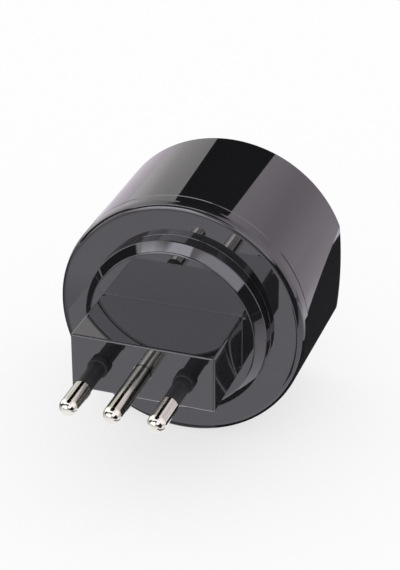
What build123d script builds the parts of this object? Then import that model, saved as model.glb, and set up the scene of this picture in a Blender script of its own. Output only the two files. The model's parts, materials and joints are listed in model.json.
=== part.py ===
from build123d import *
from math import asin, atan, cos, degrees, radians, sin, sqrt
import os

# Travel adapter with three round pins in line on its plug side and an earthed
# socket, in a round recess, on the other side.
# Sizes are in millimetres. X runs along the row of pins, +Y runs from the plug
# to the socket and +Z is up. The origin is where the earth pin's axis crosses
# the front face of the plug block.

# Plug pins
pin_pitch = 9.5
pin_radius = 2.0
pin_reach = 19.0
pin_bare_length = 9.0
pin_shoulder = 0.2
pin_tail_radius = 1.3
rivet_lip = 0.9
rivet_head_height = 0.9

# Insulating sleeves on the two outer pins
sleeve_recess = 0.2
sleeve_wall = 0.4
sleeve_collar_lip = 0.1
sleeve_collar_length = 1.7

# Plug block
block_width = 32.0
block_height = 13.0
block_depth = 18.5
block_rounding = 0.4
block_front_wall = 2.5
tower_wall = 1.4
tower_web = 1.6

# Round boss behind the block
boss_bevel_width = 1.95
boss_bevel_depth = 2.1
boss_side_length = 2.9

# Front cover
wall = 2.0
cover_rounding = 1.2
cover_straight_side = 3.0
seam_chamfer = 0.15
spigot_wall = 1.1
spigot_length = 3.0

# Housing
housing_length = 31.6
rim_flare = 0.15
rim_rounding = 0.6
rim_land = 2.7
ledge_thickness = 1.5
flat_depth = 0.3
flat_taper = 1.05
flat_crown_radius = 100.0

# Socket
recess_radius = 19.75
recess_depth = 17.5
recess_mouth_chamfer = 0.5
floor_thickness = 2.5
cup_wall = 1.8
flange_lip = 2.65
flange_thickness = 1.8
flange_set_back = 0.2
flange_key_width = 4.0
flange_key_reach = 1.2
aperture_radius = 2.7
aperture_lead_in = 0.4
guide_rib_width = 5.0
guide_rib_height = 2.5
guide_rib_below_rim = 2.0

# Live contacts and their carrier
strip = 0.8
contact_width = 6.0
contact_grip_radius = 2.2
contact_arm_spread = 0.4
contact_mouth_spread = 0.6
contact_mouth_length = 1.6
contact_neck_length = 2.2
contact_bend = 1.0
clamp_thickness = 0.5
clamp_width = 3.0
clamp_below_neck = 0.8
clamp_opening = 3.0
carrier_thickness = 1.8
carrier_margin = 3.0
chamber_wall = 1.0
chamber_room = 0.8

# Shutter behind the socket floor
shutter_thickness = 5.0
shutter_overlap = 1.3
shutter_overlap_angle = 3.5
shutter_hub_wall = 2.1
shutter_edge_left = 1.0
ramp_lead = 2.6
post_radius = 2.5
post_running_clearance = 0.06
stop_width = 2.0
stop_height = 3.0
stop_length = 2.7

# Return spring of the shutter
spring_wire_radius = 0.3
spring_post_gap = 0.15
spring_leg_past_peg = 0.9
spring_layer = 1.6
spring_opening = 83.0
peg_radius = 0.7
peg_place_radius = 7.6

# Earth path
bridge_width = 5.5
bridge_ear_height = 5.5
bridge_ear_room = 0.5
earth_clip_width = 6.0
earth_clip_thickness = 0.6
earth_clip_inset = 2.25
earth_clip_reach = 4.05
earth_clip_end_gap = 1.05
earth_clip_bulge_depth = 9.8
earth_clip_end_depth = 3.8
earth_clip_start_height = 1.3
earth_clip_bend = 2.0
earth_slot_gap = 0.4
earth_rivet_radius = 0.9
earth_rivet_lip = 0.7
earth_rivet_head_height = 0.6

# Screws
housing_screw_radius = 1.5
housing_screw_height = 11.26
housing_screw_head_radius = 2.75
housing_screw_head_height = 1.8
housing_screw_seat_depth = 2.0
screw_bite = 5.5
screw_boss_wall = 1.7
screw_boss_height = 7.5
screw_boss_room = 0.55
screw_column_wall = 0.6
carrier_screw_radius = 1.1
carrier_screw_head_radius = 2.0
carrier_screw_head_height = 1.3
carrier_screw_bite = 4.5
carrier_post_wall = 1.3
driver_slot_width = 0.8
driver_slot_depth = 0.9

# Gaps
free_gap = 0.3
spigot_gap = 0.2
seat_gap = 0.05
head_gap = 0.25
screw_hole_gap = 0.2

# Depths from the front face of the plug block, worked out from the sizes above
bevel_end = block_depth + boss_bevel_depth
cover_face = bevel_end + boss_side_length
seam = cover_face + cover_rounding + cover_straight_side
rim = seam + housing_length
inner_floor = block_depth + wall
recess_floor = rim - recess_depth
floor_back = recess_floor - floor_thickness
shutter_top = floor_back - free_gap
shutter_bottom = shutter_top - shutter_thickness
carrier_top = shutter_bottom - spring_layer
carrier_bottom = carrier_top - carrier_thickness
flange_face = rim - flange_set_back
flange_seat = flange_face - flange_thickness
column_end = inner_floor + screw_boss_height + free_gap
screw_seat = recess_floor - housing_screw_seat_depth
pin_tip_straight = -(pin_reach - pin_radius)
sleeve_end = -(pin_reach - pin_bare_length)
rivet_base = inner_floor + strip
rivet_top = rivet_base + rivet_head_height
chamber_end = rivet_top + chamber_room
contact_mouth = carrier_top - seat_gap
throat = contact_mouth - contact_mouth_length
neck = throat - contact_neck_length
earth_rivet_depth = inner_floor + (bridge_ear_height + strip) / 2

# Radii, offsets and angles worked out from the sizes above
pin_shank_radius = pin_radius + pin_shoulder
rivet_head_radius = pin_tail_radius + rivet_lip
sleeve_radius = pin_radius - sleeve_recess
pin_core_radius = sleeve_radius - sleeve_wall
sleeve_collar_radius = pin_shank_radius + sleeve_collar_lip
tower_radius = pin_shank_radius + tower_wall
cup_radius = recess_radius + cup_wall
flange_radius = cup_radius + flange_lip
flat_at_rim = flange_radius + rim_land
flat_at_seam = flat_at_rim + flat_taper
cover_radius = flat_at_seam + flat_depth
spigot_radius = cover_radius - wall - spigot_gap
earth_clip_offset = recess_radius - earth_clip_inset
earth_clip_inside = earth_clip_offset - earth_clip_thickness / 2
earth_clip_outside = earth_clip_offset + earth_clip_thickness / 2
boss_hollow_radius = earth_clip_outside + earth_rivet_head_height + bridge_ear_room
boss_radius = boss_hollow_radius + wall
boss_face_radius = boss_radius - boss_bevel_width
shutter_radius = pin_pitch + aperture_radius + shutter_overlap
aperture_half_angle = degrees(asin(aperture_radius / pin_pitch))
shutter_arm_half_angle = aperture_half_angle + shutter_overlap_angle
shutter_travel = 2 * shutter_arm_half_angle
shutter_hub_radius = post_radius + shutter_hub_wall
stop_inner_radius = shutter_radius - stop_length
spring_bend_radius = post_radius + spring_post_gap + spring_wire_radius
leg_to_peg = spring_bend_radius + spring_wire_radius + seat_gap + peg_radius
spring_leg = sqrt(peg_place_radius**2 - leg_to_peg**2) + spring_leg_past_peg
peg_swing = degrees(asin(leg_to_peg / peg_place_radius))
peg_edge_angle = degrees(peg_radius / peg_place_radius)
moving_peg_angle = 180 - shutter_arm_half_angle + peg_edge_angle
spring_moving_leg_angle = moving_peg_angle + peg_swing
spring_fixed_leg_angle = spring_moving_leg_angle + spring_opening
fixed_peg_angle = spring_fixed_leg_angle + peg_swing
contact_throat_offset = contact_grip_radius + strip / 2
contact_arm_offset = contact_throat_offset + contact_arm_spread
contact_mouth_offset = contact_throat_offset + contact_mouth_spread
contact_outside = contact_arm_offset + strip / 2
chamber_inner_x = contact_outside + clamp_thickness + free_gap
chamber_inner_z = contact_width / 2 + clamp_thickness + free_gap
chamber_outer_x = chamber_inner_x + chamber_wall
chamber_outer_z = chamber_inner_z + chamber_wall
earth_rivet_head_radius = earth_rivet_radius + earth_rivet_lip
earth_rivet_grip = strip + earth_clip_thickness
bridge_ear_offset = earth_clip_inside - strip
earth_clip_bulge_offset = recess_radius - earth_clip_reach + earth_clip_thickness / 2
earth_clip_end_offset = recess_radius - earth_clip_end_gap - earth_clip_thickness / 2
earth_slot_width = earth_clip_width + 2 * earth_slot_gap
earth_slot_inner = recess_radius - earth_clip_reach - earth_slot_gap
earth_slot_outer = recess_radius - earth_clip_end_gap + earth_slot_gap
screw_boss_radius = housing_screw_radius + screw_boss_wall
screw_column_radius = housing_screw_head_radius + head_gap + screw_column_wall
carrier_post_radius = carrier_screw_radius + carrier_post_wall
carrier_screw_offset = pin_pitch + chamber_outer_x + carrier_screw_head_radius + free_gap
carrier_radius = carrier_screw_offset + carrier_margin

# Places of what repeats, as X and Z
pin_places = ((-pin_pitch, 0), (0, 0), (pin_pitch, 0))
live_places = ((-pin_pitch, 0), (pin_pitch, 0))
carrier_screw_places = ((-carrier_screw_offset, 0), (carrier_screw_offset, 0))
housing_screw_offset = bridge_width / 2 + screw_boss_room + screw_boss_radius
housing_screw_places = (
    (-housing_screw_offset, housing_screw_height),
    (housing_screw_offset, -housing_screw_height),
)


def across(depth):
    """Plane square to the pins at a depth, where sketch x is X and sketch y is Z.

    An extrusion by a negative amount runs towards the socket.
    """
    return Plane.XZ.offset(-depth)


def barrel(inset, front, back):
    """Tapered round body with two slightly crowned side flats, inset all round."""
    taper = rim_flare / housing_length
    front_radius = cover_radius + taper * (front - seam) - inset
    back_radius = cover_radius + taper * (back - seam) - inset
    tilt = atan(flat_taper / housing_length)
    with BuildPart() as body:
        with BuildSketch(Plane.XY):
            Polygon(
                (0, front),
                (front_radius, front),
                (back_radius, back),
                (0, back),
                align=None,
            )
        revolve(axis=Axis.Y)
        for side in (1, -1):
            flat = Plane(
                origin=(side * (flat_at_seam - inset), seam, 0),
                x_dir=(side * cos(tilt), sin(tilt), 0),
                z_dir=(-side * sin(tilt), cos(tilt), 0),
            )
            with BuildSketch(flat):
                with Locations((-flat_crown_radius, 0)):
                    Circle(flat_crown_radius)
            extrude(amount=2 * housing_length, both=True, mode=Mode.INTERSECT)
    return body.part


os.makedirs("parts", exist_ok=True)

# Plug cover: block, boss and front face in one moulding
with BuildPart() as plug_cover:
    with BuildSketch(across(0)):
        Rectangle(block_width, block_height)
    extrude(amount=-inner_floor)
    block_edges = plug_cover.edges().group_by(Axis.Y)
    fillet(block_edges[0] + block_edges[1], block_rounding)
    with BuildSketch(Plane.XY):
        with BuildLine():
            Polyline(
                (0, inner_floor),
                (0, block_depth),
                (boss_face_radius, block_depth),
                (boss_radius, bevel_end),
                (boss_radius, cover_face),
                (cover_radius - cover_rounding, cover_face),
            )
            JernArc(
                start=(cover_radius - cover_rounding, cover_face),
                tangent=(1, 0),
                radius=cover_rounding,
                arc_size=90,
            )
            Polyline(
                (cover_radius, cover_face + cover_rounding),
                (cover_radius, seam - seam_chamfer),
                (cover_radius - seam_chamfer, seam),
                (spigot_radius, seam),
                (spigot_radius, seam + spigot_length),
                (spigot_radius - spigot_wall, seam + spigot_length),
                (spigot_radius - spigot_wall, cover_face + wall),
                (boss_hollow_radius, cover_face + wall),
                (boss_hollow_radius, inner_floor),
                (0, inner_floor),
            )
        make_face()
    revolve(axis=Axis.Y)
    # Hollow of the block, with a tower round each pin and a web that ties them
    with BuildSketch(across(block_front_wall)):
        Rectangle(block_width - 2 * wall, block_height - 2 * wall)
    extrude(amount=-(inner_floor - block_front_wall), mode=Mode.SUBTRACT)
    with BuildSketch(across(block_front_wall / 2)):
        with Locations(*pin_places):
            Circle(tower_radius)
    extrude(amount=-(inner_floor - block_front_wall / 2))
    with BuildSketch(across(block_front_wall / 2)):
        Rectangle(block_width - wall, tower_web)
    extrude(amount=-(block_depth - block_front_wall / 2))
    with BuildSketch(across(0)):
        with Locations(*pin_places):
            Circle(pin_shank_radius)
    extrude(amount=-inner_floor, mode=Mode.SUBTRACT)
    # Bosses that the two housing screws bite into
    with BuildSketch(across(inner_floor - wall / 2)):
        with Locations(*housing_screw_places):
            Circle(screw_boss_radius)
    extrude(amount=-(screw_boss_height + wall / 2))
    with BuildSketch(across(inner_floor + screw_boss_height)):
        with Locations(*housing_screw_places):
            Circle(housing_screw_radius)
    extrude(amount=screw_bite, mode=Mode.SUBTRACT)
plug_cover.part.label = "plug_cover"
export_step(plug_cover.part, "parts/plug_cover.step")

# Housing: round shell with two side flats and an open rim
with BuildPart() as housing_shell:
    add(barrel(0, seam, rim))
    fillet(housing_shell.edges().group_by(Axis.Y)[-1], rim_rounding)
    chamfer(housing_shell.edges().group_by(Axis.Y)[0], seam_chamfer)
    add(barrel(wall, seam, flange_seat - ledge_thickness), mode=Mode.SUBTRACT)
    with BuildSketch(across(seam)):
        Circle(spigot_radius + seat_gap)
    extrude(amount=-(spigot_length + free_gap), mode=Mode.SUBTRACT)
    with BuildSketch(across(rim)):
        Circle(cup_radius + free_gap)
    extrude(amount=housing_length / 2, mode=Mode.SUBTRACT)
    with BuildSketch(across(rim)):
        Circle(flange_radius + seat_gap)
        with Locations((0, flange_radius)):
            Rectangle(flange_key_width + 2 * seat_gap, 2 * (flange_key_reach + seat_gap))
    extrude(amount=rim - flange_seat, mode=Mode.SUBTRACT)
housing_shell.part.label = "housing_shell"
export_step(housing_shell.part, "parts/housing_shell.step")

# Socket insert: cup with the contact floor, guide ribs and shutter post
stop_angle = shutter_arm_half_angle + degrees(
    (free_gap + stop_width / 2) / stop_inner_radius
)
stop_places = [
    turn + angle
    for turn in (0, 180)
    for angle in (-stop_angle, shutter_travel + stop_angle)
]
with BuildPart() as socket_insert:
    with BuildSketch(Plane.XY):
        Polygon(
            (0, floor_back),
            (cup_radius, floor_back),
            (cup_radius, flange_seat),
            (flange_radius, flange_seat),
            (flange_radius, flange_face),
            (recess_radius + recess_mouth_chamfer, flange_face),
            (recess_radius, flange_face - recess_mouth_chamfer),
            (recess_radius, recess_floor),
            (0, recess_floor),
            align=None,
        )
    revolve(axis=Axis.Y)
    with BuildSketch(across(flange_seat)):
        with Locations((0, flange_radius - flange_key_reach)):
            Rectangle(flange_key_width, 4 * flange_key_reach)
        Circle(flange_radius - flange_key_reach, mode=Mode.SUBTRACT)
    extrude(amount=-flange_thickness)
    # Guide ribs at both ends of the row of apertures
    for side in (1, -1):
        with BuildSketch(across(recess_floor)):
            with Locations((side * recess_radius, 0)):
                Rectangle(2 * guide_rib_height, guide_rib_width)
            Circle(cup_radius - cup_wall / 2, mode=Mode.INTERSECT)
        extrude(amount=-(flange_face - guide_rib_below_rim - recess_floor))
    # Pivot post of the shutter, stops at both ends of its travel
    with BuildSketch(across(floor_back)):
        Circle(post_radius)
    extrude(amount=floor_back - carrier_top + carrier_thickness / 2)
    with BuildSketch(across(floor_back)):
        for angle in stop_places:
            with Locations(Rot(0, 0, angle)):
                with Locations(((stop_inner_radius + shutter_radius) / 2, 0)):
                    Rectangle(shutter_radius - stop_inner_radius, stop_width)
    extrude(amount=stop_height)
    # Columns round the housing screws, and posts for the carrier screws
    with BuildSketch(across(floor_back)):
        with Locations(*housing_screw_places):
            Circle(screw_column_radius)
    extrude(amount=floor_back - column_end)
    with BuildSketch(across(floor_back)):
        with Locations(*carrier_screw_places):
            Circle(carrier_post_radius)
    extrude(amount=floor_back - carrier_top)
    with BuildSketch(across(recess_floor)):
        with Locations(*housing_screw_places):
            Circle(housing_screw_radius + screw_hole_gap)
    extrude(amount=recess_floor - column_end, mode=Mode.SUBTRACT)
    with BuildSketch(across(recess_floor)):
        with Locations(*housing_screw_places):
            Circle(housing_screw_head_radius + head_gap)
    extrude(amount=housing_screw_seat_depth, mode=Mode.SUBTRACT)
    with BuildSketch(across(carrier_top)):
        with Locations(*carrier_screw_places):
            Circle(carrier_screw_radius)
    extrude(amount=-carrier_screw_bite, mode=Mode.SUBTRACT)
    # Apertures with a lead-in for the pins, and slots for the earth clips
    for place in (-pin_pitch, pin_pitch):
        with BuildSketch(Plane((place, 0, 0))):
            Polygon(
                (0, floor_back),
                (aperture_radius, floor_back),
                (aperture_radius, recess_floor - aperture_lead_in),
                (aperture_radius + aperture_lead_in, recess_floor),
                (0, recess_floor),
                align=None,
            )
        revolve(axis=Axis((place, 0, 0), (0, 1, 0)), mode=Mode.SUBTRACT)
    with BuildSketch(across(recess_floor)):
        for side in (1, -1):
            with Locations((0, side * (earth_slot_inner + earth_slot_outer) / 2)):
                Rectangle(earth_slot_width, earth_slot_outer - earth_slot_inner)
    extrude(amount=floor_thickness, mode=Mode.SUBTRACT)
socket_insert.part.label = "socket_insert"
export_step(socket_insert.part, "parts/socket_insert.step")

# Shutter: two ramped pads on a hub that turns on the post
ramp_inner = pin_pitch - aperture_radius - free_gap
arm_half_width = shutter_radius * sin(radians(shutter_arm_half_angle))
arm_reach = shutter_radius * cos(radians(shutter_arm_half_angle))
ramp_end = arm_half_width + free_gap
with BuildPart() as shutter:
    with BuildSketch(across(shutter_bottom)):
        Circle(shutter_hub_radius)
        for side in (1, -1):
            with BuildLine():
                arm_corner = (side * arm_reach, -side * arm_half_width)
                arm_end = (side * arm_reach, side * arm_half_width)
                Line((0, 0), arm_corner)
                ThreePointArc(arm_corner, (side * shutter_radius, 0), arm_end)
                Line(arm_end, (0, 0))
            make_face()
    extrude(amount=-shutter_thickness)
    for side in (1, -1):
        with BuildSketch(Plane.YZ.offset(side * ramp_inner)):
            Polygon(
                (shutter_top, side * ramp_lead),
                (shutter_top, -side * ramp_end),
                (shutter_bottom + shutter_edge_left, -side * ramp_end),
                align=None,
            )
        extrude(amount=side * shutter_radius, mode=Mode.SUBTRACT)
    with BuildSketch(across(shutter_bottom)):
        with Locations(Rot(0, 0, moving_peg_angle)):
            with Locations((peg_place_radius, 0)):
                Circle(peg_radius)
    extrude(amount=spring_layer - free_gap)
    with BuildSketch(across(shutter_bottom)):
        Circle(post_radius + post_running_clearance)
    extrude(amount=-shutter_thickness, mode=Mode.SUBTRACT)
shutter.part.label = "shutter"
export_step(shutter.part, "parts/shutter.step")

# Return spring: one bent wire that opens round the post
moving_leg = radians(spring_moving_leg_angle)
fixed_leg = radians(spring_fixed_leg_angle)
wrap_start = (
    spring_bend_radius * cos(moving_leg - radians(90)),
    spring_bend_radius * sin(moving_leg - radians(90)),
)
moving_leg_end = (
    wrap_start[0] + spring_leg * cos(moving_leg),
    wrap_start[1] + spring_leg * sin(moving_leg),
)
with BuildPart() as shutter_spring:
    with BuildLine(across(carrier_top + spring_layer / 2)) as spring_line:
        Line(moving_leg_end, wrap_start)
        wrap = JernArc(
            start=wrap_start,
            tangent=(-cos(moving_leg), -sin(moving_leg)),
            radius=spring_bend_radius,
            arc_size=spring_opening - 180,
        )
        fixed_leg_line = PolarLine(wrap @ 1, spring_leg, direction=wrap % 1)
    with BuildSketch(Plane(origin=spring_line.line @ 0, z_dir=spring_line.line % 0)):
        Circle(spring_wire_radius)
    sweep()
shutter_spring.part.label = "shutter_spring"
export_step(shutter_spring.part, "parts/shutter_spring.step")

# Contact carrier: plate over the shutter with a chamber for each live contact
with BuildPart() as contact_carrier:
    with BuildSketch(across(carrier_bottom)):
        Circle(carrier_radius)
    extrude(amount=-carrier_thickness)
    with BuildSketch(across(carrier_bottom)):
        with Locations(*live_places):
            Rectangle(2 * chamber_outer_x, 2 * chamber_outer_z)
    extrude(amount=carrier_bottom - chamber_end)
    with BuildSketch(across(carrier_top)):
        with Locations(*live_places):
            Rectangle(2 * chamber_inner_x, 2 * chamber_inner_z)
        Circle(post_radius + seat_gap)
        with Locations(*housing_screw_places):
            Circle(screw_column_radius + free_gap)
        with Locations(*carrier_screw_places):
            Circle(carrier_screw_radius + screw_hole_gap)
        for side in (1, -1):
            with Locations((0, side * carrier_radius)):
                Rectangle(earth_slot_width, 2 * (carrier_radius - earth_slot_inner))
    extrude(amount=carrier_top - chamber_end, mode=Mode.SUBTRACT)
    with BuildSketch(across(carrier_top)):
        with Locations(Rot(0, 0, fixed_peg_angle)):
            with Locations((peg_place_radius, 0)):
                Circle(peg_radius)
    extrude(amount=-(spring_layer - free_gap))
contact_carrier.part.label = "contact_carrier"
export_step(contact_carrier.part, "parts/contact_carrier.step")

# Live contacts: a folded strip each, riveted to its pin, with a clamp round its arms
for place, name in ((pin_pitch, "line"), (-pin_pitch, "neutral")):
    contact_plane = Plane((place, 0, 0))
    with BuildPart() as contact:
        with BuildSketch(contact_plane):
            with BuildLine():
                FilletPolyline(
                    (-contact_mouth_offset, contact_mouth),
                    (-contact_throat_offset, throat),
                    (-contact_arm_offset, neck),
                    (-contact_arm_offset, inner_floor + strip / 2),
                    (contact_arm_offset, inner_floor + strip / 2),
                    (contact_arm_offset, neck),
                    (contact_throat_offset, throat),
                    (contact_mouth_offset, contact_mouth),
                    radius=contact_bend,
                )
            trace(line_width=strip)
        extrude(amount=contact_width / 2, both=True)
        with BuildSketch(across(inner_floor)):
            with Locations((place, 0)):
                Circle(pin_tail_radius)
        extrude(amount=-strip, mode=Mode.SUBTRACT)
    contact.part.label = name + "_contact"
    export_step(contact.part, "parts/" + name + "_contact.step")

    with BuildPart() as contact_clamp:
        with BuildSketch(across(neck - clamp_below_neck)):
            with Locations((place, 0)):
                Rectangle(
                    2 * (contact_outside + clamp_thickness),
                    contact_width + 2 * clamp_thickness,
                )
                Rectangle(2 * contact_outside, contact_width, mode=Mode.SUBTRACT)
            with Locations((place, -contact_width / 2)):
                Rectangle(clamp_opening, 2 * clamp_thickness + seat_gap, mode=Mode.SUBTRACT)
        extrude(amount=clamp_width)
    contact_clamp.part.label = name + "_contact_clamp"
    export_step(contact_clamp.part, "parts/" + name + "_contact_clamp.step")

# Plug pins, pressed in from the front, with a riveted tail behind
for place, name in ((pin_pitch, "line"), (-pin_pitch, "neutral"), (0, "earth")):
    pin_axis = Axis((place, 0, 0), (0, 1, 0))
    with BuildPart() as plug_pin:
        with BuildSketch(Plane((place, 0, 0))):
            with BuildLine():
                RadiusArc(
                    (0, -pin_reach), (pin_radius, pin_tip_straight), -pin_radius
                )
                if name == "earth":
                    Polyline(
                        (pin_radius, pin_tip_straight),
                        (pin_radius, 0),
                        (pin_shank_radius, 0),
                        (pin_shank_radius, inner_floor),
                    )
                else:
                    Polyline(
                        (pin_radius, pin_tip_straight),
                        (pin_radius, sleeve_end),
                        (pin_core_radius, sleeve_end),
                        (pin_core_radius, block_front_wall),
                        (pin_shank_radius, block_front_wall),
                        (pin_shank_radius, inner_floor),
                    )
                Polyline(
                    (pin_shank_radius, inner_floor),
                    (pin_tail_radius, inner_floor),
                    (pin_tail_radius, rivet_base),
                    (rivet_head_radius, rivet_base),
                    (rivet_head_radius, (rivet_base + rivet_top) / 2),
                    (pin_tail_radius, rivet_top),
                    (0, rivet_top),
                    (0, -pin_reach),
                )
            make_face()
        revolve(axis=pin_axis)
    plug_pin.part.label = name + "_pin"
    export_step(plug_pin.part, "parts/" + name + "_pin.step")

    if name != "earth":
        with BuildPart() as sleeve:
            with BuildSketch(Plane((place, 0, 0))):
                Polygon(
                    (pin_core_radius, sleeve_end),
                    (sleeve_radius, sleeve_end),
                    (sleeve_radius, -sleeve_collar_length),
                    (sleeve_collar_radius, -sleeve_collar_length),
                    (sleeve_collar_radius, 0),
                    (pin_shank_radius, 0),
                    (pin_shank_radius, block_front_wall),
                    (pin_core_radius, block_front_wall),
                    align=None,
                )
            revolve(axis=pin_axis)
        sleeve.part.label = name + "_pin_sleeve"
        export_step(sleeve.part, "parts/" + name + "_pin_sleeve.step")

# Earth path: a bridge riveted to the earth pin, and a spring clip on each ear
with BuildPart() as earth_bridge:
    with BuildSketch(Plane.YZ):
        Polygon(
            (inner_floor, -bridge_ear_offset - strip),
            (inner_floor, bridge_ear_offset + strip),
            (inner_floor + bridge_ear_height, bridge_ear_offset + strip),
            (inner_floor + bridge_ear_height, bridge_ear_offset),
            (inner_floor + strip, bridge_ear_offset),
            (inner_floor + strip, -bridge_ear_offset),
            (inner_floor + bridge_ear_height, -bridge_ear_offset),
            (inner_floor + bridge_ear_height, -bridge_ear_offset - strip),
            align=None,
        )
    extrude(amount=bridge_width / 2, both=True)
    with BuildSketch(across(inner_floor)):
        Circle(pin_tail_radius)
    extrude(amount=-strip, mode=Mode.SUBTRACT)
    with BuildSketch(Plane.XY):
        with Locations((0, earth_rivet_depth)):
            Circle(earth_rivet_radius)
    extrude(amount=boss_radius, both=True, mode=Mode.SUBTRACT)
earth_bridge.part.label = "earth_bridge"
export_step(earth_bridge.part, "parts/earth_bridge.step")

for side, name in ((1, "upper_earth_clip"), (-1, "lower_earth_clip")):
    with BuildPart() as earth_clip:
        with BuildSketch(Plane.YZ):
            with BuildLine():
                FilletPolyline(
                    (inner_floor + earth_clip_start_height, side * earth_clip_offset),
                    (recess_floor + free_gap, side * earth_clip_offset),
                    (rim - earth_clip_bulge_depth, side * earth_clip_bulge_offset),
                    (rim - earth_clip_end_depth, side * earth_clip_end_offset),
                    radius=earth_clip_bend,
                )
            trace(line_width=earth_clip_thickness)
        extrude(amount=earth_clip_width / 2, both=True)
        with BuildSketch(Plane.XY):
            with Locations((0, earth_rivet_depth)):
                Circle(earth_rivet_radius)
        extrude(amount=side * boss_radius, mode=Mode.SUBTRACT)
    earth_clip.part.label = name
    export_step(earth_clip.part, "parts/" + name + ".step")

with BuildPart() as earth_rivets:
    for side in (1, -1):
        head_plane = Plane.XY.offset(side * (bridge_ear_offset - earth_rivet_head_height))
        with BuildSketch(head_plane):
            with Locations((0, earth_rivet_depth)):
                Circle(earth_rivet_head_radius)
        extrude(amount=side * earth_rivet_head_height)
        with BuildSketch(Plane.XY.offset(side * bridge_ear_offset)):
            with Locations((0, earth_rivet_depth)):
                Circle(earth_rivet_radius)
        extrude(amount=side * earth_rivet_grip)
        with BuildSketch(Plane.XY.offset(side * (bridge_ear_offset + earth_rivet_grip))):
            with Locations((0, earth_rivet_depth)):
                Circle(earth_rivet_head_radius)
        extrude(amount=side * earth_rivet_head_height)
earth_rivets.part.label = "earth_rivets"
export_step(earth_rivets.part, "parts/earth_rivets.step")

# Housing screws, driven from the recess floor into the plug cover
with BuildPart() as housing_screws:
    with BuildSketch(across(screw_seat)):
        with Locations(*housing_screw_places):
            Circle(housing_screw_head_radius)
    extrude(amount=-housing_screw_head_height)
    head_edges = housing_screws.edges().group_by(Axis.Y)[-1]
    fillet(head_edges, housing_screw_head_height / 3)
    with BuildSketch(across(screw_seat)):
        with Locations(*housing_screw_places):
            Circle(housing_screw_radius)
    extrude(amount=screw_seat - (inner_floor + screw_boss_height - screw_bite))
    with BuildSketch(across(screw_seat + housing_screw_head_height)):
        with Locations(*housing_screw_places):
            Rectangle(2 * housing_screw_radius, driver_slot_width)
            Rectangle(driver_slot_width, 2 * housing_screw_radius)
    extrude(amount=driver_slot_depth, mode=Mode.SUBTRACT)
housing_screws.part.label = "housing_screws"
export_step(housing_screws.part, "parts/housing_screws.step")

# Carrier screws, driven through the carrier into the posts of the insert
with BuildPart() as carrier_screws:
    with BuildSketch(across(carrier_bottom)):
        with Locations(*carrier_screw_places):
            Circle(carrier_screw_head_radius)
    extrude(amount=carrier_screw_head_height)
    with BuildSketch(across(carrier_bottom)):
        with Locations(*carrier_screw_places):
            Circle(carrier_screw_radius)
    extrude(amount=-(carrier_thickness + carrier_screw_bite))
    with BuildSketch(across(carrier_bottom - carrier_screw_head_height)):
        with Locations(*carrier_screw_places):
            Rectangle(2 * carrier_screw_radius, driver_slot_width)
            Rectangle(driver_slot_width, 2 * carrier_screw_radius)
    extrude(amount=-driver_slot_depth, mode=Mode.SUBTRACT)
carrier_screws.part.label = "carrier_screws"
export_step(carrier_screws.part, "parts/carrier_screws.step")
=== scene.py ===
import json
from math import atan, cos, hypot, pi, radians, sin

import bmesh
import bpy
from mathutils import Matrix, Vector


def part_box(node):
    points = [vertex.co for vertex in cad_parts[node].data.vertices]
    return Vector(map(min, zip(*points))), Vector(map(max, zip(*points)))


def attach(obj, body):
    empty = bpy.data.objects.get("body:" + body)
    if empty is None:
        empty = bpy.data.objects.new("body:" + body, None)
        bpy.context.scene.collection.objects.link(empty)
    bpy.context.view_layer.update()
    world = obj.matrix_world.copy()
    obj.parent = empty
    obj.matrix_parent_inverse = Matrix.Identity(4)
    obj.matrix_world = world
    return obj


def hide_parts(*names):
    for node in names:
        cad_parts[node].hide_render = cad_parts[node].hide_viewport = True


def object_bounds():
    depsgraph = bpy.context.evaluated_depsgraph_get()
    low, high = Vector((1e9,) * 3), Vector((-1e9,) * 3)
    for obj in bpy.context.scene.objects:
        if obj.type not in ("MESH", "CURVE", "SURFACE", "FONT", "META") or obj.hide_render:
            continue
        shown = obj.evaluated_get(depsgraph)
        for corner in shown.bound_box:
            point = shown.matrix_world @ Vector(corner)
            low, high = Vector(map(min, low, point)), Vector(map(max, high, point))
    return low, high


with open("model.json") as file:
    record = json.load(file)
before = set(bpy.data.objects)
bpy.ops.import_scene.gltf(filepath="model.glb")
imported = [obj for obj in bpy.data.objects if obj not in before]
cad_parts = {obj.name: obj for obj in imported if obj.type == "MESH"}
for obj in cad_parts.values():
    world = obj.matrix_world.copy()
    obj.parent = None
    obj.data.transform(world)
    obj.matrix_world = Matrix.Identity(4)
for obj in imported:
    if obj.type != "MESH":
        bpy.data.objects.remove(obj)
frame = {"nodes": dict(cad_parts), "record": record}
cad_bounds = [list(corner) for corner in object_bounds()]
scene = bpy.context.scene
scene.view_settings.view_transform = "Standard"

# Camera
# It stands in front of the pins, above them and to their right, and looks
# down over the plug block at the round body. Its place is in metres, its
# focus and the height of the picture in pixels.
camera_place = Vector((0.12206, -0.31989, 0.20800))
camera_forward = Vector((-0.28369, 0.83041, -0.47952))
camera_focus = 1915
picture_height = 570
camera_data = bpy.data.cameras.new("camera")
camera_data.sensor_width = 36
camera_data.lens = camera_data.sensor_width * camera_focus / picture_height
camera_data.clip_start = 0.01
camera = bpy.data.objects.new("camera", camera_data)
aim = camera_forward.to_track_quat("-Z", "Y").to_matrix().to_4x4()
camera.matrix_world = Matrix.Translation(camera_place) @ aim
scene.collection.objects.link(camera)
scene.camera = camera

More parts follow.
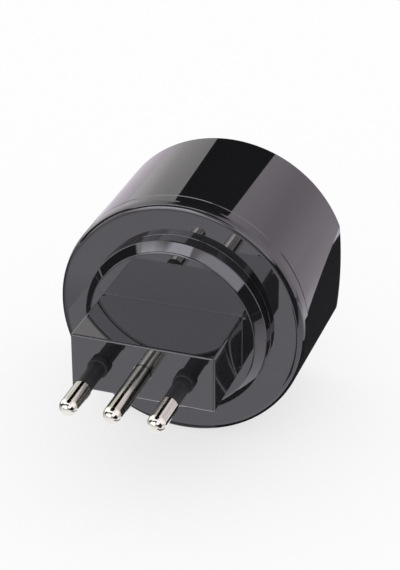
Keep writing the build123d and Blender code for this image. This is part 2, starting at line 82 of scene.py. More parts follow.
# Plug cover
# One moulding in high gloss black plastic: the plug block, the round boss
# behind it and the front face of the body. It is hollow, with a tower for
# each pin and two bosses for the screws that hold the adapter together.
mm = 0.001
near = 0.05 * mm
past = 1 * mm
merge_distance = 0.001 * mm
sharp_corner = radians(25)
fine_steps = 240
rod_steps = 96
wall = 2 * mm
pin_pitch = 9.5 * mm
pin_shank_radius = 2.2 * mm
pin_mouth_radius = 2.1 * mm
pin_shank_start = 1.2 * mm
block_width = 32 * mm
block_height = 13 * mm
block_depth = 18.5 * mm
block_rounding = 0.5 * mm
block_front_wall = 2.5 * mm
block_root_fillet = 0.12 * mm
tower_radius = 3.6 * mm
tower_web = 1.6 * mm
boss_radius = 20.9 * mm
boss_face_radius = 18.95 * mm
boss_hollow_radius = 18.9 * mm
boss_face_rounding = 0.35 * mm
boss_rounding = 0.2 * mm
boss_root_fillet = 0.12 * mm
bevel_end = 20.6 * mm
cover_face = 23.5 * mm
cover_rounding = 1.8 * mm
seam_chamfer = 0.15 * mm
spigot_wall = 1.1 * mm
spigot_radius = 26.05 * mm
screw_boss_radius = 3.2 * mm
screw_boss_height = 7.5 * mm
screw_bite = 5.5 * mm
screw_radius = 1.5 * mm
screw_places = ((-6.5 * mm, 11.26 * mm), (6.5 * mm, -11.26 * mm))
pin_places = ((-pin_pitch, 0), (0, 0), (pin_pitch, 0))
inner_floor = block_depth + wall
screw_boss_end = inner_floor + screw_boss_height
cover_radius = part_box("plug_cover")[1].z
spigot_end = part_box("plug_cover")[1].y
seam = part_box("housing_shell")[0].y


class Output:
    """The output of a node, with arithmetic that adds Math nodes."""

    def __init__(self, shader, output):
        self.shader = shader
        self.output = output

    def __add__(self, other):
        return self.shader.math("ADD", self, other)

    def __sub__(self, other):
        return self.shader.math("SUBTRACT", self, other)

    def __rsub__(self, other):
        return self.shader.math("SUBTRACT", other, self)

    def __mul__(self, other):
        return self.shader.math("MULTIPLY", self, other)

    __radd__ = __add__
    __rmul__ = __mul__


class Shader:
    """The nodes of a material or a world, started from an empty tree."""

    def __init__(self, owner):
        owner.use_nodes = True
        self.tree = owner.node_tree
        self.tree.nodes.clear()

    def node(self, kind, settings, inputs, output=0):
        """A node of a kind with its settings, then its inputs as values or links."""
        made = self.tree.nodes.new(kind)
        for name, value in settings.items():
            setattr(made, name, value)
        for place, value in inputs.items():
            if isinstance(value, Output):
                self.tree.links.new(value.output, made.inputs[place])
            else:
                made.inputs[place].default_value = value
        if made.outputs:
            return Output(self, made.outputs[output])

    def math(self, operation, *values):
        """A Math node on outputs and numbers."""
        return self.node(
            "ShaderNodeMath", {"operation": operation}, dict(enumerate(values))
        )

    def place(self, stretch):
        """Object coordinates, scaled by a stretch along each axis."""
        coordinates = self.node("ShaderNodeTexCoord", {}, {}, "Object")
        inputs = {"Vector": coordinates, "Scale": stretch}
        return self.node("ShaderNodeMapping", {}, inputs)

    def noise(self, grain, detail, stretch=(1, 1, 1)):
        """Noise from 0 to 1, whose grain is given in metres."""
        inputs = {"Vector": self.place(stretch), "Scale": 1 / grain, "Detail": detail}
        return self.node("ShaderNodeTexNoise", {}, inputs, "Fac")

    def between(self, value, low, high, end=1):
        """A value from low to high, mapped from 0 to the end and held there."""
        inputs = {"Value": value, "From Min": low, "From Max": high, "To Max": end}
        return self.node("ShaderNodeMapRange", {}, inputs)

    def blend(self, share, first, second):
        """A colour between two colours."""
        inputs = {0: share, 6: (*first, 1), 7: (*second, 1)}
        return self.node("ShaderNodeMix", {"data_type": "RGBA"}, inputs, 2)

    def bump(self, height, depth):
        """A normal from a height of 0 to 1, whose depth is given in metres."""
        return self.node("ShaderNodeBump", {}, {"Height": height, "Distance": depth})

    def surface(self, inputs):
        """The finish itself, led to the material's output."""
        finish = self.node("ShaderNodeBsdfPrincipled", {}, inputs)
        self.node("ShaderNodeOutputMaterial", {}, {"Surface": finish})


def pick(piece):
    """Selects a piece alone and makes it the active one."""
    bpy.ops.object.select_all(action="DESELECT")
    bpy.context.view_layer.objects.active = piece
    piece.select_set(True)


def rod(radius, front, back, place=(0, 0), steps=rod_steps):
    """A round bar along Y between two depths, at a place across and up."""
    bpy.ops.object.select_all(action="DESELECT")
    bpy.ops.mesh.primitive_cylinder_add(
        vertices=steps,
        radius=radius,
        depth=back - front,
        location=(place[0], (front + back) / 2, place[1]),
        rotation=(radians(90), 0, 0),
    )
    bpy.ops.object.transform_apply()
    return bpy.context.object


def bar(width, height, front, back, place=(0, 0)):
    """A square bar along Y between two depths, at a place across and up."""
    bpy.ops.object.select_all(action="DESELECT")
    bpy.ops.mesh.primitive_cube_add(
        size=1, location=(place[0], (front + back) / 2, place[1])
    )
    bpy.context.object.scale = (width, back - front, height)
    bpy.ops.object.transform_apply()
    return bpy.context.object


def turned(outline, place=(0, 0), steps=fine_steps):
    """A body turned round the Y axis from an outline of radius and depth."""
    bpy.ops.object.select_all(action="DESELECT")
    bpy.ops.mesh.primitive_plane_add(size=1)
    bpy.ops.object.mode_set(mode="EDIT")
    bpy.ops.mesh.select_mode(type="VERT")
    bpy.ops.mesh.merge(type="CENTER")
    bpy.ops.transform.translate(value=(*outline[0], 0))
    for here, there in zip(outline, outline[1:]):
        step = (there[0] - here[0], there[1] - here[1], 0)
        bpy.ops.mesh.extrude_vertices_move(TRANSFORM_OT_translate={"value": step})
    bpy.ops.mesh.select_all(action="SELECT")
    bpy.ops.mesh.spin(
        steps=steps, angle=radians(360), center=(0, 0, 0), axis=(0, 1, 0)
    )
    bpy.ops.mesh.select_all(action="SELECT")
    bpy.ops.mesh.remove_doubles(threshold=merge_distance)
    bpy.ops.mesh.normals_make_consistent(inside=False)
    bpy.ops.transform.translate(value=(place[0], 0, place[1]))
    bpy.ops.object.mode_set(mode="OBJECT")
    return bpy.context.object


def combine(piece, tool, operation):
    """Welds a body to a piece, cuts it out or keeps what both share."""
    pick(piece)
    change = piece.modifiers.new("combine", "BOOLEAN")
    change.operation = operation
    change.solver = "MANIFOLD"
    change.object = tool
    bpy.ops.object.modifier_apply(modifier=change.name)
    bpy.data.objects.remove(tool)


def weld(piece, *tools):
    """Welds bodies to a piece, one after the other."""
    for tool in tools:
        combine(piece, tool, "UNION")


def cut(piece, *tools):
    """Cuts bodies out of a piece, one after the other."""
    for tool in tools:
        combine(piece, tool, "DIFFERENCE")


def ease(piece, width, test, steps):
    """Rounds the sharp edges of a piece whose middle passes a test."""
    pick(piece)
    bpy.ops.object.mode_set(mode="EDIT")
    bpy.ops.mesh.select_mode(type="EDGE")
    bpy.ops.mesh.select_all(action="DESELECT")
    mesh = bmesh.from_edit_mesh(piece.data)
    for edge in mesh.edges:
        middle = (edge.verts[0].co + edge.verts[1].co) / 2
        if len(edge.link_faces) == 2 and edge.calc_face_angle() > sharp_corner:
            edge.select_set(test(middle))
    bmesh.update_edit_mesh(piece.data)
    bpy.ops.mesh.bevel(offset=width, segments=steps, affect="EDGES")
    bpy.ops.object.mode_set(mode="OBJECT")


def ring(radius, depth, place=(0, 0)):
    """A test for places on a circle round the Y axis, or round a parallel one."""
    return lambda spot: (
        abs(hypot(spot.x - place[0], spot.z - place[1]) - radius) < near
        and abs(spot.y - depth) < near
    )


def finished(piece, name, material, replaced, body="adapter"):
    """Smooths a piece, gives it its finish and puts it in its node's place."""
    pick(piece)
    bpy.ops.object.shade_smooth_by_angle(angle=sharp_corner)
    even = piece.modifiers.new("even faces", "WEIGHTED_NORMAL")
    even.keep_sharp = True
    bpy.ops.object.modifier_apply(modifier=even.name)
    piece.name = name
    piece.data.name = name
    piece.data.materials.clear()
    piece.data.materials.append(material)
    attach(piece, body)
    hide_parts(replaced)


def gloss_black():
    """High gloss black with a faint swell, some smudges and fine dust."""
    made = bpy.data.materials.new("gloss_black_plastic")
    shader = Shader(made)
    smudge_size = 9 * mm
    swell_size = 7 * mm
    swell_depth = 0.004 * mm
    dust_size = 0.25 * mm
    clean_roughness = 0.03
    smudge_roughness = 0.03
    dust_roughness = 0.2
    black = (0.0112, 0.0110, 0.0124)
    speck = (0.05, 0.05, 0.05)
    smudge = shader.between(shader.noise(smudge_size, detail=4), low=0.45, high=0.7)
    swell = shader.noise(swell_size, detail=1)
    dust = shader.between(shader.noise(dust_size, detail=1), low=0.76, high=0.8)
    shader.surface({
        "Base Color": shader.blend(dust, black, speck),
        "Roughness": clean_roughness + smudge * smudge_roughness + dust * dust_roughness,
        "IOR": 1.5,
        "Coat Weight": 1,
        "Coat Roughness": 0.02,
        "Coat IOR": 1.5,
        "Normal": shader.bump(swell, swell_depth),
    })
    return made


def at_block_root(spot):
    """Tells the line where the block meets the boss."""
    beside = abs(spot.x) < block_width / 2 + near
    level = abs(spot.z) < block_height / 2 + near
    return beside and level and abs(spot.y - block_depth) < near


gloss_plastic = gloss_black()
cover_piece = turned((
    (0, block_depth),
    (boss_face_radius, block_depth),
    (boss_radius, bevel_end),
    (boss_radius, cover_face),
    (cover_radius, cover_face),
    (cover_radius, seam - seam_chamfer),
    (cover_radius - seam_chamfer, seam),
    (spigot_radius, seam),
    (spigot_radius, spigot_end),
    (spigot_radius - spigot_wall, spigot_end),
    (spigot_radius - spigot_wall, cover_face + wall),
    (boss_hollow_radius, cover_face + wall),
    (boss_hollow_radius, inner_floor),
    (0, inner_floor),
))
ease(cover_piece, cover_rounding, ring(cover_radius, cover_face), steps=10)
ease(cover_piece, boss_face_rounding, ring(boss_face_radius, block_depth), steps=5)
ease(cover_piece, boss_rounding, ring(boss_radius, bevel_end), steps=4)
ease(cover_piece, boss_root_fillet, ring(boss_radius, cover_face), steps=3)
block_piece = bar(block_width, block_height, 0, block_depth + wall / 2)
ease(block_piece, block_rounding, lambda spot: spot.y < block_depth, steps=5)
weld(cover_piece, block_piece)
ease(cover_piece, block_root_fillet, at_block_root, steps=2)
cut(
    cover_piece,
    bar(
        block_width - 2 * wall,
        block_height - 2 * wall,
        block_front_wall,
        inner_floor + past,
    ),
)
for pin_place in pin_places:
    weld(cover_piece, rod(tower_radius, block_front_wall / 2, inner_floor, pin_place))
weld(
    cover_piece,
    bar(block_width - wall, tower_web, block_front_wall / 2, block_depth),
)
for pin_place in pin_places:
    cut(
        cover_piece,
        rod(pin_mouth_radius, -past, inner_floor, pin_place),
        rod(pin_shank_radius, pin_shank_start, inner_floor + past, pin_place),
    )
for screw_place in screw_places:
    weld(
        cover_piece,
        rod(screw_boss_radius, inner_floor - wall / 2, screw_boss_end, screw_place),
    )
    cut(
        cover_piece,
        rod(
            screw_radius,
            screw_boss_end - screw_bite,
            screw_boss_end + past,
            screw_place,
        ),
    )
finished(
    cover_piece,
    "plug_cover_moulding",
    gloss_plastic,
    "plug_cover",
)

# Pins
# Three turned brass pins with bright nickel plating and round tips, marked
# lengthwise by use. The two outer ones are turned down under their sleeves,
# and a riveted tail behind the cover holds the contacts on each.
pin_radius = 2 * mm
pin_reach = 19 * mm
pin_bare_length = 9 * mm
pin_core_radius = 1.4 * mm
pin_tail_radius = 1.3 * mm
rivet_base = 21.3 * mm
rivet_top = 22.2 * mm
tip_steps = 14
pin_steps = 72
sleeve_end = pin_bare_length - pin_reach
tip_centre = pin_radius - pin_reach


def nickel():
    """Bright nickel plate with fine drag marks along the pin."""
    made = bpy.data.materials.new("nickel_plate")
    shader = Shader(made)
    drag_size = 0.4 * mm
    drag_stretch = (1, 0.06, 1)
    drag_depth = 0.003 * mm
    cloud_size = 3 * mm
    clean_roughness = 0.10
    drag_roughness = 0.14
    bright = (0.78, 0.775, 0.66)
    dull = (0.69, 0.685, 0.585)
    drag = shader.noise(drag_size, detail=4, stretch=drag_stretch)
    mark = shader.between(drag, low=0.5, high=0.75)
    cloud = shader.noise(cloud_size, detail=3)
    shader.surface({
        "Base Color": shader.blend(cloud, bright, dull),
        "Metallic": 1,
        "Roughness": clean_roughness + mark * drag_roughness,
        "Normal": shader.bump(drag, drag_depth),
    })
    return made


nickel_plate = nickel()
tip_turns = [step / tip_steps * pi / 2 for step in range(tip_steps + 1)]
tip = [
    (pin_radius * sin(turn), tip_centre - pin_radius * cos(turn))
    for turn in tip_turns
]
bare_shank = [
    (pin_radius, pin_shank_start),
    (pin_shank_radius, pin_shank_start),
]
sleeved_shank = [
    (pin_radius, sleeve_end),
    (pin_core_radius, sleeve_end),
    (pin_core_radius, block_front_wall),
    (pin_shank_radius, block_front_wall),
]
tail = [
    (pin_shank_radius, inner_floor),
    (pin_tail_radius, inner_floor),
    (pin_tail_radius, rivet_base),
    (pin_shank_radius, rivet_base),
    (pin_shank_radius, (rivet_base + rivet_top) / 2),
    (pin_tail_radius, rivet_top),
    (0, rivet_top),
]
pin_rows = (
    ("neutral_pin", -pin_pitch, sleeved_shank),
    ("earth_pin", 0, bare_shank),
    ("line_pin", pin_pitch, sleeved_shank),
)
for name, across, shank in pin_rows:
    pin_piece = turned(tip + shank + tail, (across, 0), pin_steps)
    finished(pin_piece, name + "_turned", nickel_plate, name)

# Pin sleeves
# Matte black insulating sleeves on the two outer pins, moulded on, each with
# a short collar where it meets the block and a slightly rounded lip.
sleeve_radius = 1.8 * mm
sleeve_collar_radius = 2.3 * mm
sleeve_collar_length = 1.7 * mm
sleeve_rounding = 0.12 * mm
sleeve_collar_rounding = 0.3 * mm


def sleeve_matte():
    """Matte black plastic with a fine grain, a little lighter where rubbed."""
    made = bpy.data.materials.new("sleeve_plastic")
    shader = Shader(made)
    grain_size = 0.18 * mm
    grain_depth = 0.01 * mm
    rub_size = 1.6 * mm
    clean_roughness = 0.5
    grain_roughness = 0.15
    black = (0.010, 0.010, 0.011)
    rubbed = (0.018, 0.018, 0.019)
    grain = shader.noise(grain_size, detail=2)
    rub = shader.between(shader.noise(rub_size, detail=4), low=0.45, high=0.75)
    shader.surface({
        "Base Color": shader.blend(rub, black, rubbed),
        "Roughness": clean_roughness + grain * grain_roughness,
        "IOR": 1.4,
        "Normal": shader.bump(grain, grain_depth),
    })
    return made


sleeve_plastic = sleeve_matte()
for name, across, shank in pin_rows:
    if shank is sleeved_shank:
        sleeve_piece = turned(
            (
                (pin_core_radius, sleeve_end),
                (sleeve_radius, sleeve_end),
                (sleeve_radius, -sleeve_collar_length),
                (sleeve_collar_radius, -sleeve_collar_length),
                (sleeve_collar_radius, 0),
                (pin_radius, 0),
                (pin_radius, pin_shank_start),
                (pin_shank_radius, pin_shank_start),
                (pin_shank_radius, block_front_wall),
                (pin_core_radius, block_front_wall),
                (pin_core_radius, sleeve_end),
            ),
            (across, 0),
            pin_steps,
        )
        lip = ring(sleeve_radius, sleeve_end, (across, 0))
        ease(sleeve_piece, sleeve_rounding, lip, steps=3)
        collar = ring(sleeve_collar_radius, -sleeve_collar_length, (across, 0))
        ease(sleeve_piece, sleeve_collar_rounding, collar, steps=4)
        finished(
            sleeve_piece,
            name + "_sleeve_moulding",
            sleeve_plastic,
            name + "_sleeve",
        )

# Working parts
# Brass contacts and their steel clamps in a plastic carrier, the shutter and
# its spring, and the earth bridge with its nickel plated clips. They keep
# the shapes that they are stamped and moulded in, and get their finishes.
plastic_grain = 0.3 * mm
metal_grain = 0.2 * mm
rolled = (1, 0.1, 1)


def satin(name, dark, light, rough, metallic, grain, stretch=(1, 1, 1)):
    """A satin finish with a fine grain that can be stretched along one axis."""
    made = bpy.data.materials.new(name)
    shader = Shader(made)
    cloud_size = 12 * grain
    grain_depth = 0.005 * mm
    grain_roughness = 0.15
    fine = shader.noise(grain, detail=4, stretch=stretch)
    cloud = shader.between(shader.noise(cloud_size, detail=3), low=0.35, high=0.7)
    shader.surface({
        "Base Color": shader.blend(cloud, dark, light),
        "Metallic": metallic,
        "Roughness": rough + fine * grain_roughness,
        "Normal": shader.bump(fine, grain_depth),
    })
    return made


finishes = (
    satin(
        "shutter_plastic",
        dark=(0.045, 0.045, 0.05),
        light=(0.06, 0.06, 0.065),
        rough=0.35,
        metallic=0,
        grain=plastic_grain,
    ),
    satin(
        "carrier_plastic",
        dark=(0.05, 0.05, 0.05),
        light=(0.07, 0.07, 0.07),
        rough=0.5,
        metallic=0,
        grain=plastic_grain,
    ),
    satin(
        "clip_nickel",
        dark=(0.66, 0.63, 0.58),
        light=(0.74, 0.72, 0.67),
        rough=0.22,
        metallic=1,
        grain=metal_grain,
        stretch=rolled,
    ),
    satin(
        "contact_brass",
        dark=(0.68, 0.50, 0.24),
        light=(0.80, 0.62, 0.34),
        rough=0.25,
        metallic=1,
        grain=metal_grain,
        stretch=rolled,
    ),
    satin(
        "spring_steel",
        dark=(0.48, 0.48, 0.50),
        light=(0.60, 0.60, 0.61),
        rough=0.2,
        metallic=1,
        grain=metal_grain,
    ),
    satin(
        "screw_steel",
        dark=(0.55, 0.55, 0.56),
        light=(0.68, 0.68, 0.68),
        rough=0.25,
        metallic=1,
        grain=metal_grain,
    ),
)
nodes = frame["nodes"]
for subpart in frame["record"]["subparts"]:
    for finish in finishes:
        if subpart["material_slot"] == finish.name:
            mesh = nodes[subpart["node"]].data
            mesh.materials.clear()
            mesh.materials.append(finish)

# Socket insert
# The recessed cup in gloss black plastic, with its floor, two guide ribs,
# two apertures and two slots for the earth clips. A key on its flange sets
# it in the housing's rim. Behind the floor are the shutter's post and stops.
recess_radius = 19.75 * mm
recess_depth = 17.5 * mm
floor_thickness = 2.5 * mm
mouth_chamfer = 0.5 * mm
cup_radius = 21.55 * mm
flange_back = 57.3 * mm
flange_radius = 24.2 * mm
flange_set_back = 0.2 * mm
flange_rounding = 0.15 * mm
key_width = 4 * mm
key_reach = 1.2 * mm
rib_width = 5 * mm
rib_height = 2.5 * mm
rib_below_rim = 2 * mm
rib_rounding = 0.3 * mm
aperture_radius = 2.7 * mm
aperture_lead_in = 0.4 * mm
slot_width = 6.8 * mm
slot_inner = 15.3 * mm
slot_outer = 19.1 * mm
counterbore_radius = 3 * mm
counterbore_depth = 2 * mm
screw_hole_radius = 1.7 * mm
column_radius = 3.6 * mm
column_end = 28.3 * mm
carrier_post_offset = 17 * mm
carrier_post_radius = 2.4 * mm
carrier_post_end = 32.4 * mm
carrier_screw_radius = 1.1 * mm
carrier_screw_bite = 4.5 * mm
shutter_post_radius = 2.5 * mm
shutter_post_end = 31.5 * mm
stop_angles = (-26.9, 66.9, 153.1, 246.9)
stop_offset = 12.15 * mm
stop_width = 2 * mm
stop_height = 3 * mm
stop_length = 2.7 * mm
broken_edge = 0.1 * mm
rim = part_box("housing_shell")[1].y
recess_floor = rim - recess_depth
floor_back = recess_floor - floor_thickness
into_floor = floor_back + floor_thickness / 2
flange_face = rim - flange_set_back
cup_wall_middle = (recess_radius + cup_radius) / 2
rib_inside = recess_radius - rib_height


def at_floor_hole(spot):
    """Tells the rims of the holes in the recess floor."""
    clear_of_ribs = abs(spot.x) < rib_inside - near
    clear_of_wall = hypot(spot.x, spot.z) < recess_radius - 4 * near
    return abs(spot.y - recess_floor) < near and clear_of_ribs and clear_of_wall


def at_rib_corner(spot):
    """Tells the edges of a rib that stand free in the recess."""
    return abs(spot.x) < rib_inside + near and spot.y > recess_floor


insert_piece = turned((
    (0, floor_back),
    (cup_radius, floor_back),
    (cup_radius, flange_back),
    (flange_radius, flange_back),
    (flange_radius, flange_face),
    (recess_radius + mouth_chamfer, flange_face),
    (recess_radius, flange_face - mouth_chamfer),
    (recess_radius, recess_floor),
    (0, recess_floor),
))
ease(insert_piece, flange_rounding, ring(flange_radius, flange_face), steps=3)
weld(
    insert_piece,
    bar(
        key_width,
        2 * key_reach,
        flange_back + near,
        flange_face - near,
        (0, flange_radius),
    ),
)
for side in (1, -1):
    rib = bar(
        cup_wall_middle - rib_inside,
        rib_width,
        into_floor,
        flange_face - rib_below_rim,
        (side * (rib_inside + cup_wall_middle) / 2, 0),
    )
    ease(rib, rib_rounding, at_rib_corner, steps=3)
    weld(insert_piece, rib)
weld(insert_piece, rod(shutter_post_radius, shutter_post_end, into_floor))
for angle in stop_angles:
    stop = bar(
        stop_length,
        stop_width,
        floor_back - stop_height,
        into_floor,
        (stop_offset, 0),
    )
    stop.data.transform(Matrix.Rotation(radians(-angle), 4, "Y"))
    weld(insert_piece, stop)
for screw_place in screw_places:
    weld(insert_piece, rod(column_radius, column_end, into_floor, screw_place))
    cut(
        insert_piece,
        rod(screw_hole_radius, column_end - past, recess_floor, screw_place),
        rod(
            counterbore_radius,
            recess_floor - counterbore_depth,
            recess_floor + past,
            screw_place,
        ),
    )
for side in (1, -1):
    post_place = (side * carrier_post_offset, 0)
    weld(
        insert_piece,
        rod(carrier_post_radius, carrier_post_end, into_floor, post_place),
    )
    cut(
        insert_piece,
        rod(
            carrier_screw_radius,
            carrier_post_end - past,
            carrier_post_end + carrier_screw_bite,
            post_place,
        ),
        turned(
            (
                (0, floor_back - past),
                (aperture_radius, floor_back - past),
                (aperture_radius, recess_floor - aperture_lead_in),
                (aperture_radius + 2 * aperture_lead_in, recess_floor + aperture_lead_in),
                (0, recess_floor + aperture_lead_in),
            ),
            (side * pin_pitch, 0),
            rod_steps,
        ),
        bar(
            slot_width,
            slot_outer - slot_inner,
            floor_back - past,
            recess_floor + past,
            (0, side * (slot_inner + slot_outer) / 2),
        ),
    )
ease(insert_piece, broken_edge, at_floor_hole, steps=2)
finished(
    insert_piece,
    "socket_insert_moulding",
    gloss_plastic,
    "socket_insert",
)

# Housing
# The round shell behind the cover, in the same gloss black plastic, a little
# wider at the rim, with two slightly crowned flats. It slides over the
# cover's spigot and meets the cover at a fine seam.
rim_rounding = 0.6 * mm
flat_at_seam = 27.95 * mm
flat_taper = 1.05 * mm
flat_crown_radius = 100 * mm
flat_steps = 1440
flat_edge_turn = radians(3)
mostly_lengthwise = 0.9
spigot_gap = 0.05 * mm
spigot_room = 3.3 * mm
cup_hole_radius = 21.85 * mm
rebate_radius = 24.25 * mm
ledge_thickness = 1.5 * mm
key_gap = 0.05 * mm
rim_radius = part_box("housing_shell")[1].z
barrel_length = rim - seam
barrel_slope = (rim_radius - cover_radius) / barrel_length
flat_tilt = atan(flat_taper / barrel_length)


def barrel(inset, front, back):
    """The tapered round body with its two crowned flats, inset all round."""
    body = turned((
        (0, front),
        (cover_radius + barrel_slope * (front - seam) - inset, front),
        (cover_radius + barrel_slope * (back - seam) - inset, back),
        (0, back),
    ))
    for side in (1, -1):
        bpy.ops.object.select_all(action="DESELECT")
        bpy.ops.mesh.primitive_cylinder_add(
            vertices=flat_steps,
            radius=flat_crown_radius,
            depth=4 * barrel_length,
            location=(
                side * (flat_at_seam - inset - flat_crown_radius * cos(flat_tilt)),
                seam - flat_crown_radius * sin(flat_tilt),
                0,
            ),
            rotation=(radians(90), 0, side * flat_tilt),
        )
        bpy.ops.object.transform_apply()
        combine(body, bpy.context.object, "INTERSECT")
    return body


def on_outside(spot):
    """Tells the outer edges from those of the rebate and the spigot's seat."""
    return hypot(spot.x, spot.z) > flat_at_seam - flat_taper - near


def at_rim(spot):
    """Tells the outer edge at the socket's end."""
    return on_outside(spot) and spot.y > rim - near


def at_seam(spot):
    """Tells the outer edge where the housing meets the cover."""
    return on_outside(spot) and spot.y < seam + near


housing_piece = barrel(0, seam, rim)
cut(
    housing_piece,
    barrel(wall, seam - past, flange_back - ledge_thickness),
    rod(
        spigot_radius + spigot_gap, seam - past, seam + spigot_room, steps=fine_steps
    ),
    rod(cup_hole_radius, seam + spigot_room, rim + past, steps=fine_steps),
    rod(rebate_radius, flange_back, rim + past, steps=fine_steps),
    bar(
        key_width + 2 * key_gap,
        2 * (key_reach + key_gap),
        flange_back,
        rim + past,
        (0, flange_radius),
    ),
)
ease(housing_piece, rim_rounding, at_rim, steps=6)
ease(housing_piece, seam_chamfer, at_seam, steps=1)
pick(housing_piece)
bpy.ops.object.mode_set(mode="EDIT")
bpy.ops.mesh.select_mode(type="EDGE")
bpy.ops.mesh.select_all(action="DESELECT")
mesh = bmesh.from_edit_mesh(housing_piece.data)
for edge in mesh.edges:
    along = (edge.verts[1].co - edge.verts[0].co).normalized()
    if len(edge.link_faces) == 2 and abs(along.y) > mostly_lengthwise:
        edge.select_set(edge.calc_face_angle() > flat_edge_turn)
bmesh.update_edit_mesh(housing_piece.data)
bpy.ops.mesh.mark_sharp()
bpy.ops.object.mode_set(mode="OBJECT")
finished(
    housing_piece,
    "housing_shell_moulding",
    gloss_plastic,
    "housing_shell",
)

# Studio
# A pale floor, an even white surround, and what only the gloss shows: a back
# wall that brightens to both sides, softboxes, and dark flags between them.
# In what is glossy the floor glows with painted light and has a painted shadow.
# Cards hang in directions given in degrees, with azimuth 0 at the back.
floor_height = cad_bounds[0][2]
floor_size = 6
floor_grey = (0.96, 0.96, 0.96, 1)
floor_white_share = 0.7
shine_middle = (-0.012, -0.035, 0)
shine_near = 0.03
shine_far = 0.22
shine_bright = (1.12, 1.09, 1.20)
shine_dim = (0.66, 0.60, 0.67)
wall_glow_middle = 0.60
wall_glow_right = 0.70
wall_glow_left = 1.30
wall_glow_above = 0.45
wall_tint_left = (1, 0.97, 0.98)
wall_tint_right = (1, 0.90, 1.02)
white = (1, 1, 1, 1)
lamp_colour = (1, 0.975, 1.09, 1)
card_distance = 1.5
sheet_lift = 0.4 * mm


def mixed(shader, share, first, second):
    """Two finishes or lights mixed by a share of the second."""
    return shader.node("ShaderNodeMixShader", {}, {0: share, 1: first, 2: second})


def light_up(made, brightness, fade):
    """Makes a card glow, faded at its edges, and show only in what is glossy."""
    glow = bpy.data.materials.new(made.name)
    shader = Shader(glow)
    place = shader.node("ShaderNodeTexCoord", {}, {}, "UV")
    share = 1
    for axis, width in zip("XY", fade):
        if width:
            along = shader.node("ShaderNodeSeparateXYZ", {}, {0: place}, axis)
            from_middle = shader.math("ABSOLUTE", along - 0.5)
            share = shader.between(0.5 - from_middle, 0, width) * share
    clear = shader.node("ShaderNodeBsdfTransparent", {}, {})
    light = shader.node("ShaderNodeEmission", {}, {0: lamp_colour, 1: brightness})
    faded = mixed(shader, share, clear, light)
    shader.node("ShaderNodeOutputMaterial", {}, {"Surface": faded})
    made.data.materials.append(glow)
    made.visible_camera = False
    made.visible_diffuse = False
    made.visible_shadow = False


def sheet_between(name, near_side, far_side):
    """A flat sheet, one metre square at first, pulled between two sides."""
    bpy.ops.object.select_all(action="DESELECT")
    bpy.ops.mesh.primitive_grid_add(
        x_subdivisions=len(near_side) - 1, y_subdivisions=1, size=1
    )
    made = bpy.context.object
    made.name = name
    for vertex, place in zip(made.data.vertices, (*near_side, *far_side)):
        vertex.co = place
    return made


def card(name, lower, upper, brightness, fade=(0, 0)):
    """A card hung between two rows of directions, each an azimuth and elevation."""
    sides = [
        [
            card_distance * Vector((
                sin(radians(azimuth)) * cos(radians(elevation)),
                cos(radians(azimuth)) * cos(radians(elevation)),
                sin(radians(elevation)),
            ))
            for azimuth, elevation in side
        ]
        for side in (lower, upper)
    ]
    light_up(sheet_between(name, *sides), brightness, fade)


def low_sheet(name, near_side, far_side, brightness, fade=(0, 0)):
    """A sheet just over the floor, seen only in reflections."""
    sides = [
        [(across, back, floor_height + sheet_lift) for across, back in side]
        for side in (near_side, far_side)
    ]
    light_up(sheet_between(name, *sides), brightness, fade)


world = bpy.data.worlds.new("studio")
scene.world = world
shader = Shader(world)
mirrored = shader.node("ShaderNodeLightPath", {}, {}, "Is Glossy Ray")
direction = shader.node("ShaderNodeTexCoord", {}, {}, "Generated")
rightward = shader.node("ShaderNodeSeparateXYZ", {}, {0: direction}, "X")
upward = shader.node("ShaderNodeSeparateXYZ", {}, {0: direction}, "Z")
wall_glow = (
    wall_glow_middle
    + shader.between(rightward, low=0.45, high=0.97, end=wall_glow_right)
    + shader.between(rightward, low=-0.50, high=-0.95, end=wall_glow_left)
    + shader.between(upward, low=0.35, high=0.75, end=wall_glow_above)
)
to_right = shader.between(rightward, low=-0.3, high=0.3)
wall_tint = shader.blend(to_right, wall_tint_left, wall_tint_right)
plain_light = shader.node("ShaderNodeBackground", {}, {0: white, 1: 1})
wall_light = shader.node("ShaderNodeBackground", {}, {0: wall_tint, 1: wall_glow})
surround = mixed(shader, mirrored, plain_light, wall_light)
shader.node("ShaderNodeOutputWorld", {}, {"Surface": surround})

bpy.ops.object.select_all(action="DESELECT")
bpy.ops.mesh.primitive_plane_add(size=floor_size, location=(0, 0, floor_height))
floor = bpy.context.object
floor.name = "floor"
pale = bpy.data.materials.new("pale_floor")
shader = Shader(pale)
camera_ray = shader.node("ShaderNodeLightPath", {}, {}, "Is Camera Ray")
glossy_ray = shader.node("ShaderNodeLightPath", {}, {}, "Is Glossy Ray")
floor_spot = shader.node("ShaderNodeTexCoord", {}, {}, "Object")
# Painted light: what is glossy sees the floor glow, without the object's shadow, brightest
# and bluish round a spot just in front of the object, dimmer and pinker farther off.
shine_distance = shader.node(
    "ShaderNodeVectorMath",
    {"operation": "DISTANCE"},
    {0: floor_spot, 1: shine_middle},
    "Value",
)
to_dim = shader.between(shine_distance, shine_near, shine_far)
shine_colour = shader.blend(to_dim, shine_bright, shine_dim)
matte = shader.node("ShaderNodeBsdfDiffuse", {}, {0: floor_grey})
glowing = shader.node("ShaderNodeEmission", {}, {0: white, 1: 1})
shine = shader.node("ShaderNodeEmission", {}, {0: shine_colour, 1: 1})
direct = mixed(shader, camera_ray * floor_white_share, matte, glowing)
floor_finish = mixed(shader, glossy_ray, direct, shine)
shader.node("ShaderNodeOutputMaterial", {}, {"Surface": floor_finish})
floor.data.materials.append(pale)

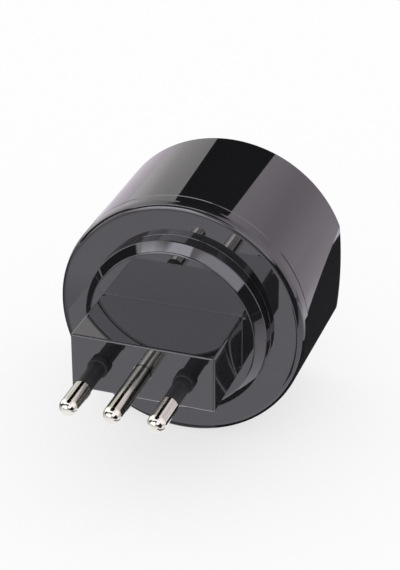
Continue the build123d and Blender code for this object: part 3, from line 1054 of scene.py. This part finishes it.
card(
    "front_softbox",
    ((-180, 1), (-152, 1)),
    ((-180, 20), (-130, 20)),
    brightness=2.3,
    fade=(0.1, 0.1),
)
card(
    "front_softbox_core",
    ((-178, 13), (-134, 13)),
    ((-166, 36), (-140, 31)),
    brightness=4.1,
    fade=(0.06, 0.08),
)
card(
    "front_wall_flag",
    ((160, 33), (-150, 32), (-120, 20)),
    ((165, 59), (-150, 59), (-116, 38)),
    brightness=0.12,
    fade=(0.03, 0.06),
)
card(
    "top_left_softbox",
    ((-182, 57), (-160, 58), (-145, 55), (-132, 47), (-120, 40), (-112, 32)),
    ((-182, 67), (-160, 68), (-145, 65), (-132, 58), (-116, 50), (-107, 40)),
    brightness=3.2,
    fade=(0.04, 0.25),
)
card(
    "left_streak_flag",
    ((-112, -4), (-80, -4)),
    ((-121, 36), (-100, 36)),
    brightness=0,
    fade=(0.05, 0.05),
)
card(
    "left_low_flag",
    ((-90, -6), (-74, -6)),
    ((-90, 12), (-80, 12)),
    brightness=0.2,
    fade=(0.4, 0.4),
)
card(
    "left_softbox",
    ((-98, 24), (-84, 10)),
    ((-98, 62), (-72, 62)),
    brightness=1.6,
    fade=(0.1, 0.05),
)
card(
    "right_flag",
    ((104, -6), (182, -6)),
    ((104, 4), (182, 4)),
    brightness=0,
    fade=(0.02, 0.1),
)
card(
    "right_flag_upper",
    ((106, 3), (160, 3)),
    ((117, 28), (127, 20)),
    brightness=0,
    fade=(0.03, 0.03),
)
card(
    "right_flag_front",
    ((122, 3), (168, 3)),
    ((124, 18), (147, 12)),
    brightness=0,
    fade=(0.03, 0.06),
)
card(
    "right_strip",
    ((119, 18), (126, 33), (136, 42), (148, 51), (172, 58)),
    ((117, 26), (118, 38), (128, 48), (142, 57), (172, 64)),
    brightness=2.1,
    fade=(0.1, 0.2),
)
card(
    "right_strip_low",
    ((138, 14), (168, 33)),
    ((136, 22), (160, 38)),
    brightness=3.4,
    fade=(0.08, 0.12),
)
card(
    "right_strip_front",
    ((149, 9), (180, 27)),
    ((148, 14), (178, 33)),
    brightness=2.0,
    fade=(0.08, 0.12),
)
card(
    "overhead_flag",
    ((-22.2, 14), (7.5, 14)),
    ((-22.2, 36), (7.5, 36)),
    brightness=0,
)
card(
    "overhead_flag_middle",
    ((-22.2, 35.5), (7.5, 35.5)),
    ((-27, 49), (9, 49)),
    brightness=0,
)
card(
    "overhead_flag_back",
    ((-27, 48), (9, 48)),
    ((-62, 64), (46, 64)),
    brightness=0,
)
card(
    "ceiling_flag",
    ((-64, 60), (48, 62)),
    ((-140, 66), (150, 72)),
    brightness=0,
)
low_sheet(
    "floor_flag_right",
    ((0.008, 0.022), (0.076, 0.022)),
    ((0.008, 0.150), (0.044, 0.150)),
    brightness=0.02,
)
low_sheet(
    "floor_sheet_right",
    ((0.085, 0.035), (0.500, 0.000)),
    ((0.070, 0.110), (0.500, 0.200)),
    brightness=1.4,
    fade=(0.05, 0.2),
)
# Painted shadow: a dim sheet behind and left of the object, seen only in reflections,
# standing for the object's shadow on the floor.
low_sheet(
    "floor_flag_back",
    ((-0.045, 0.022), (0.008, 0.022)),
    ((-0.120, 0.130), (0.008, 0.130)),
    brightness=0.2,
)
low_sheet(
    "floor_shade_left",
    ((-0.700, -0.040), (-0.045, -0.040)),
    ((-0.700, 0.110), (-0.045, 0.110)),
    brightness=0.02,
    fade=(0, 0.5),
)
low_sheet(
    "floor_flag_left",
    ((-0.700, 0.033), (-0.045, 0.033)),
    ((-0.700, 0.090), (-0.045, 0.080)),
    brightness=0.02,
    fade=(0, 0.1),
)
low_sheet(
    "floor_flag_front",
    ((0.020, -0.055), (0.034, -0.055)),
    ((0.023, 0.005), (0.034, 0.005)),
    brightness=0.12,
)
low_sheet(
    "floor_flag_far",
    ((0.060, -0.090), (0.300, -0.900)),
    ((0.045, -0.035), (1.500, -0.200)),
    brightness=0.02,
)
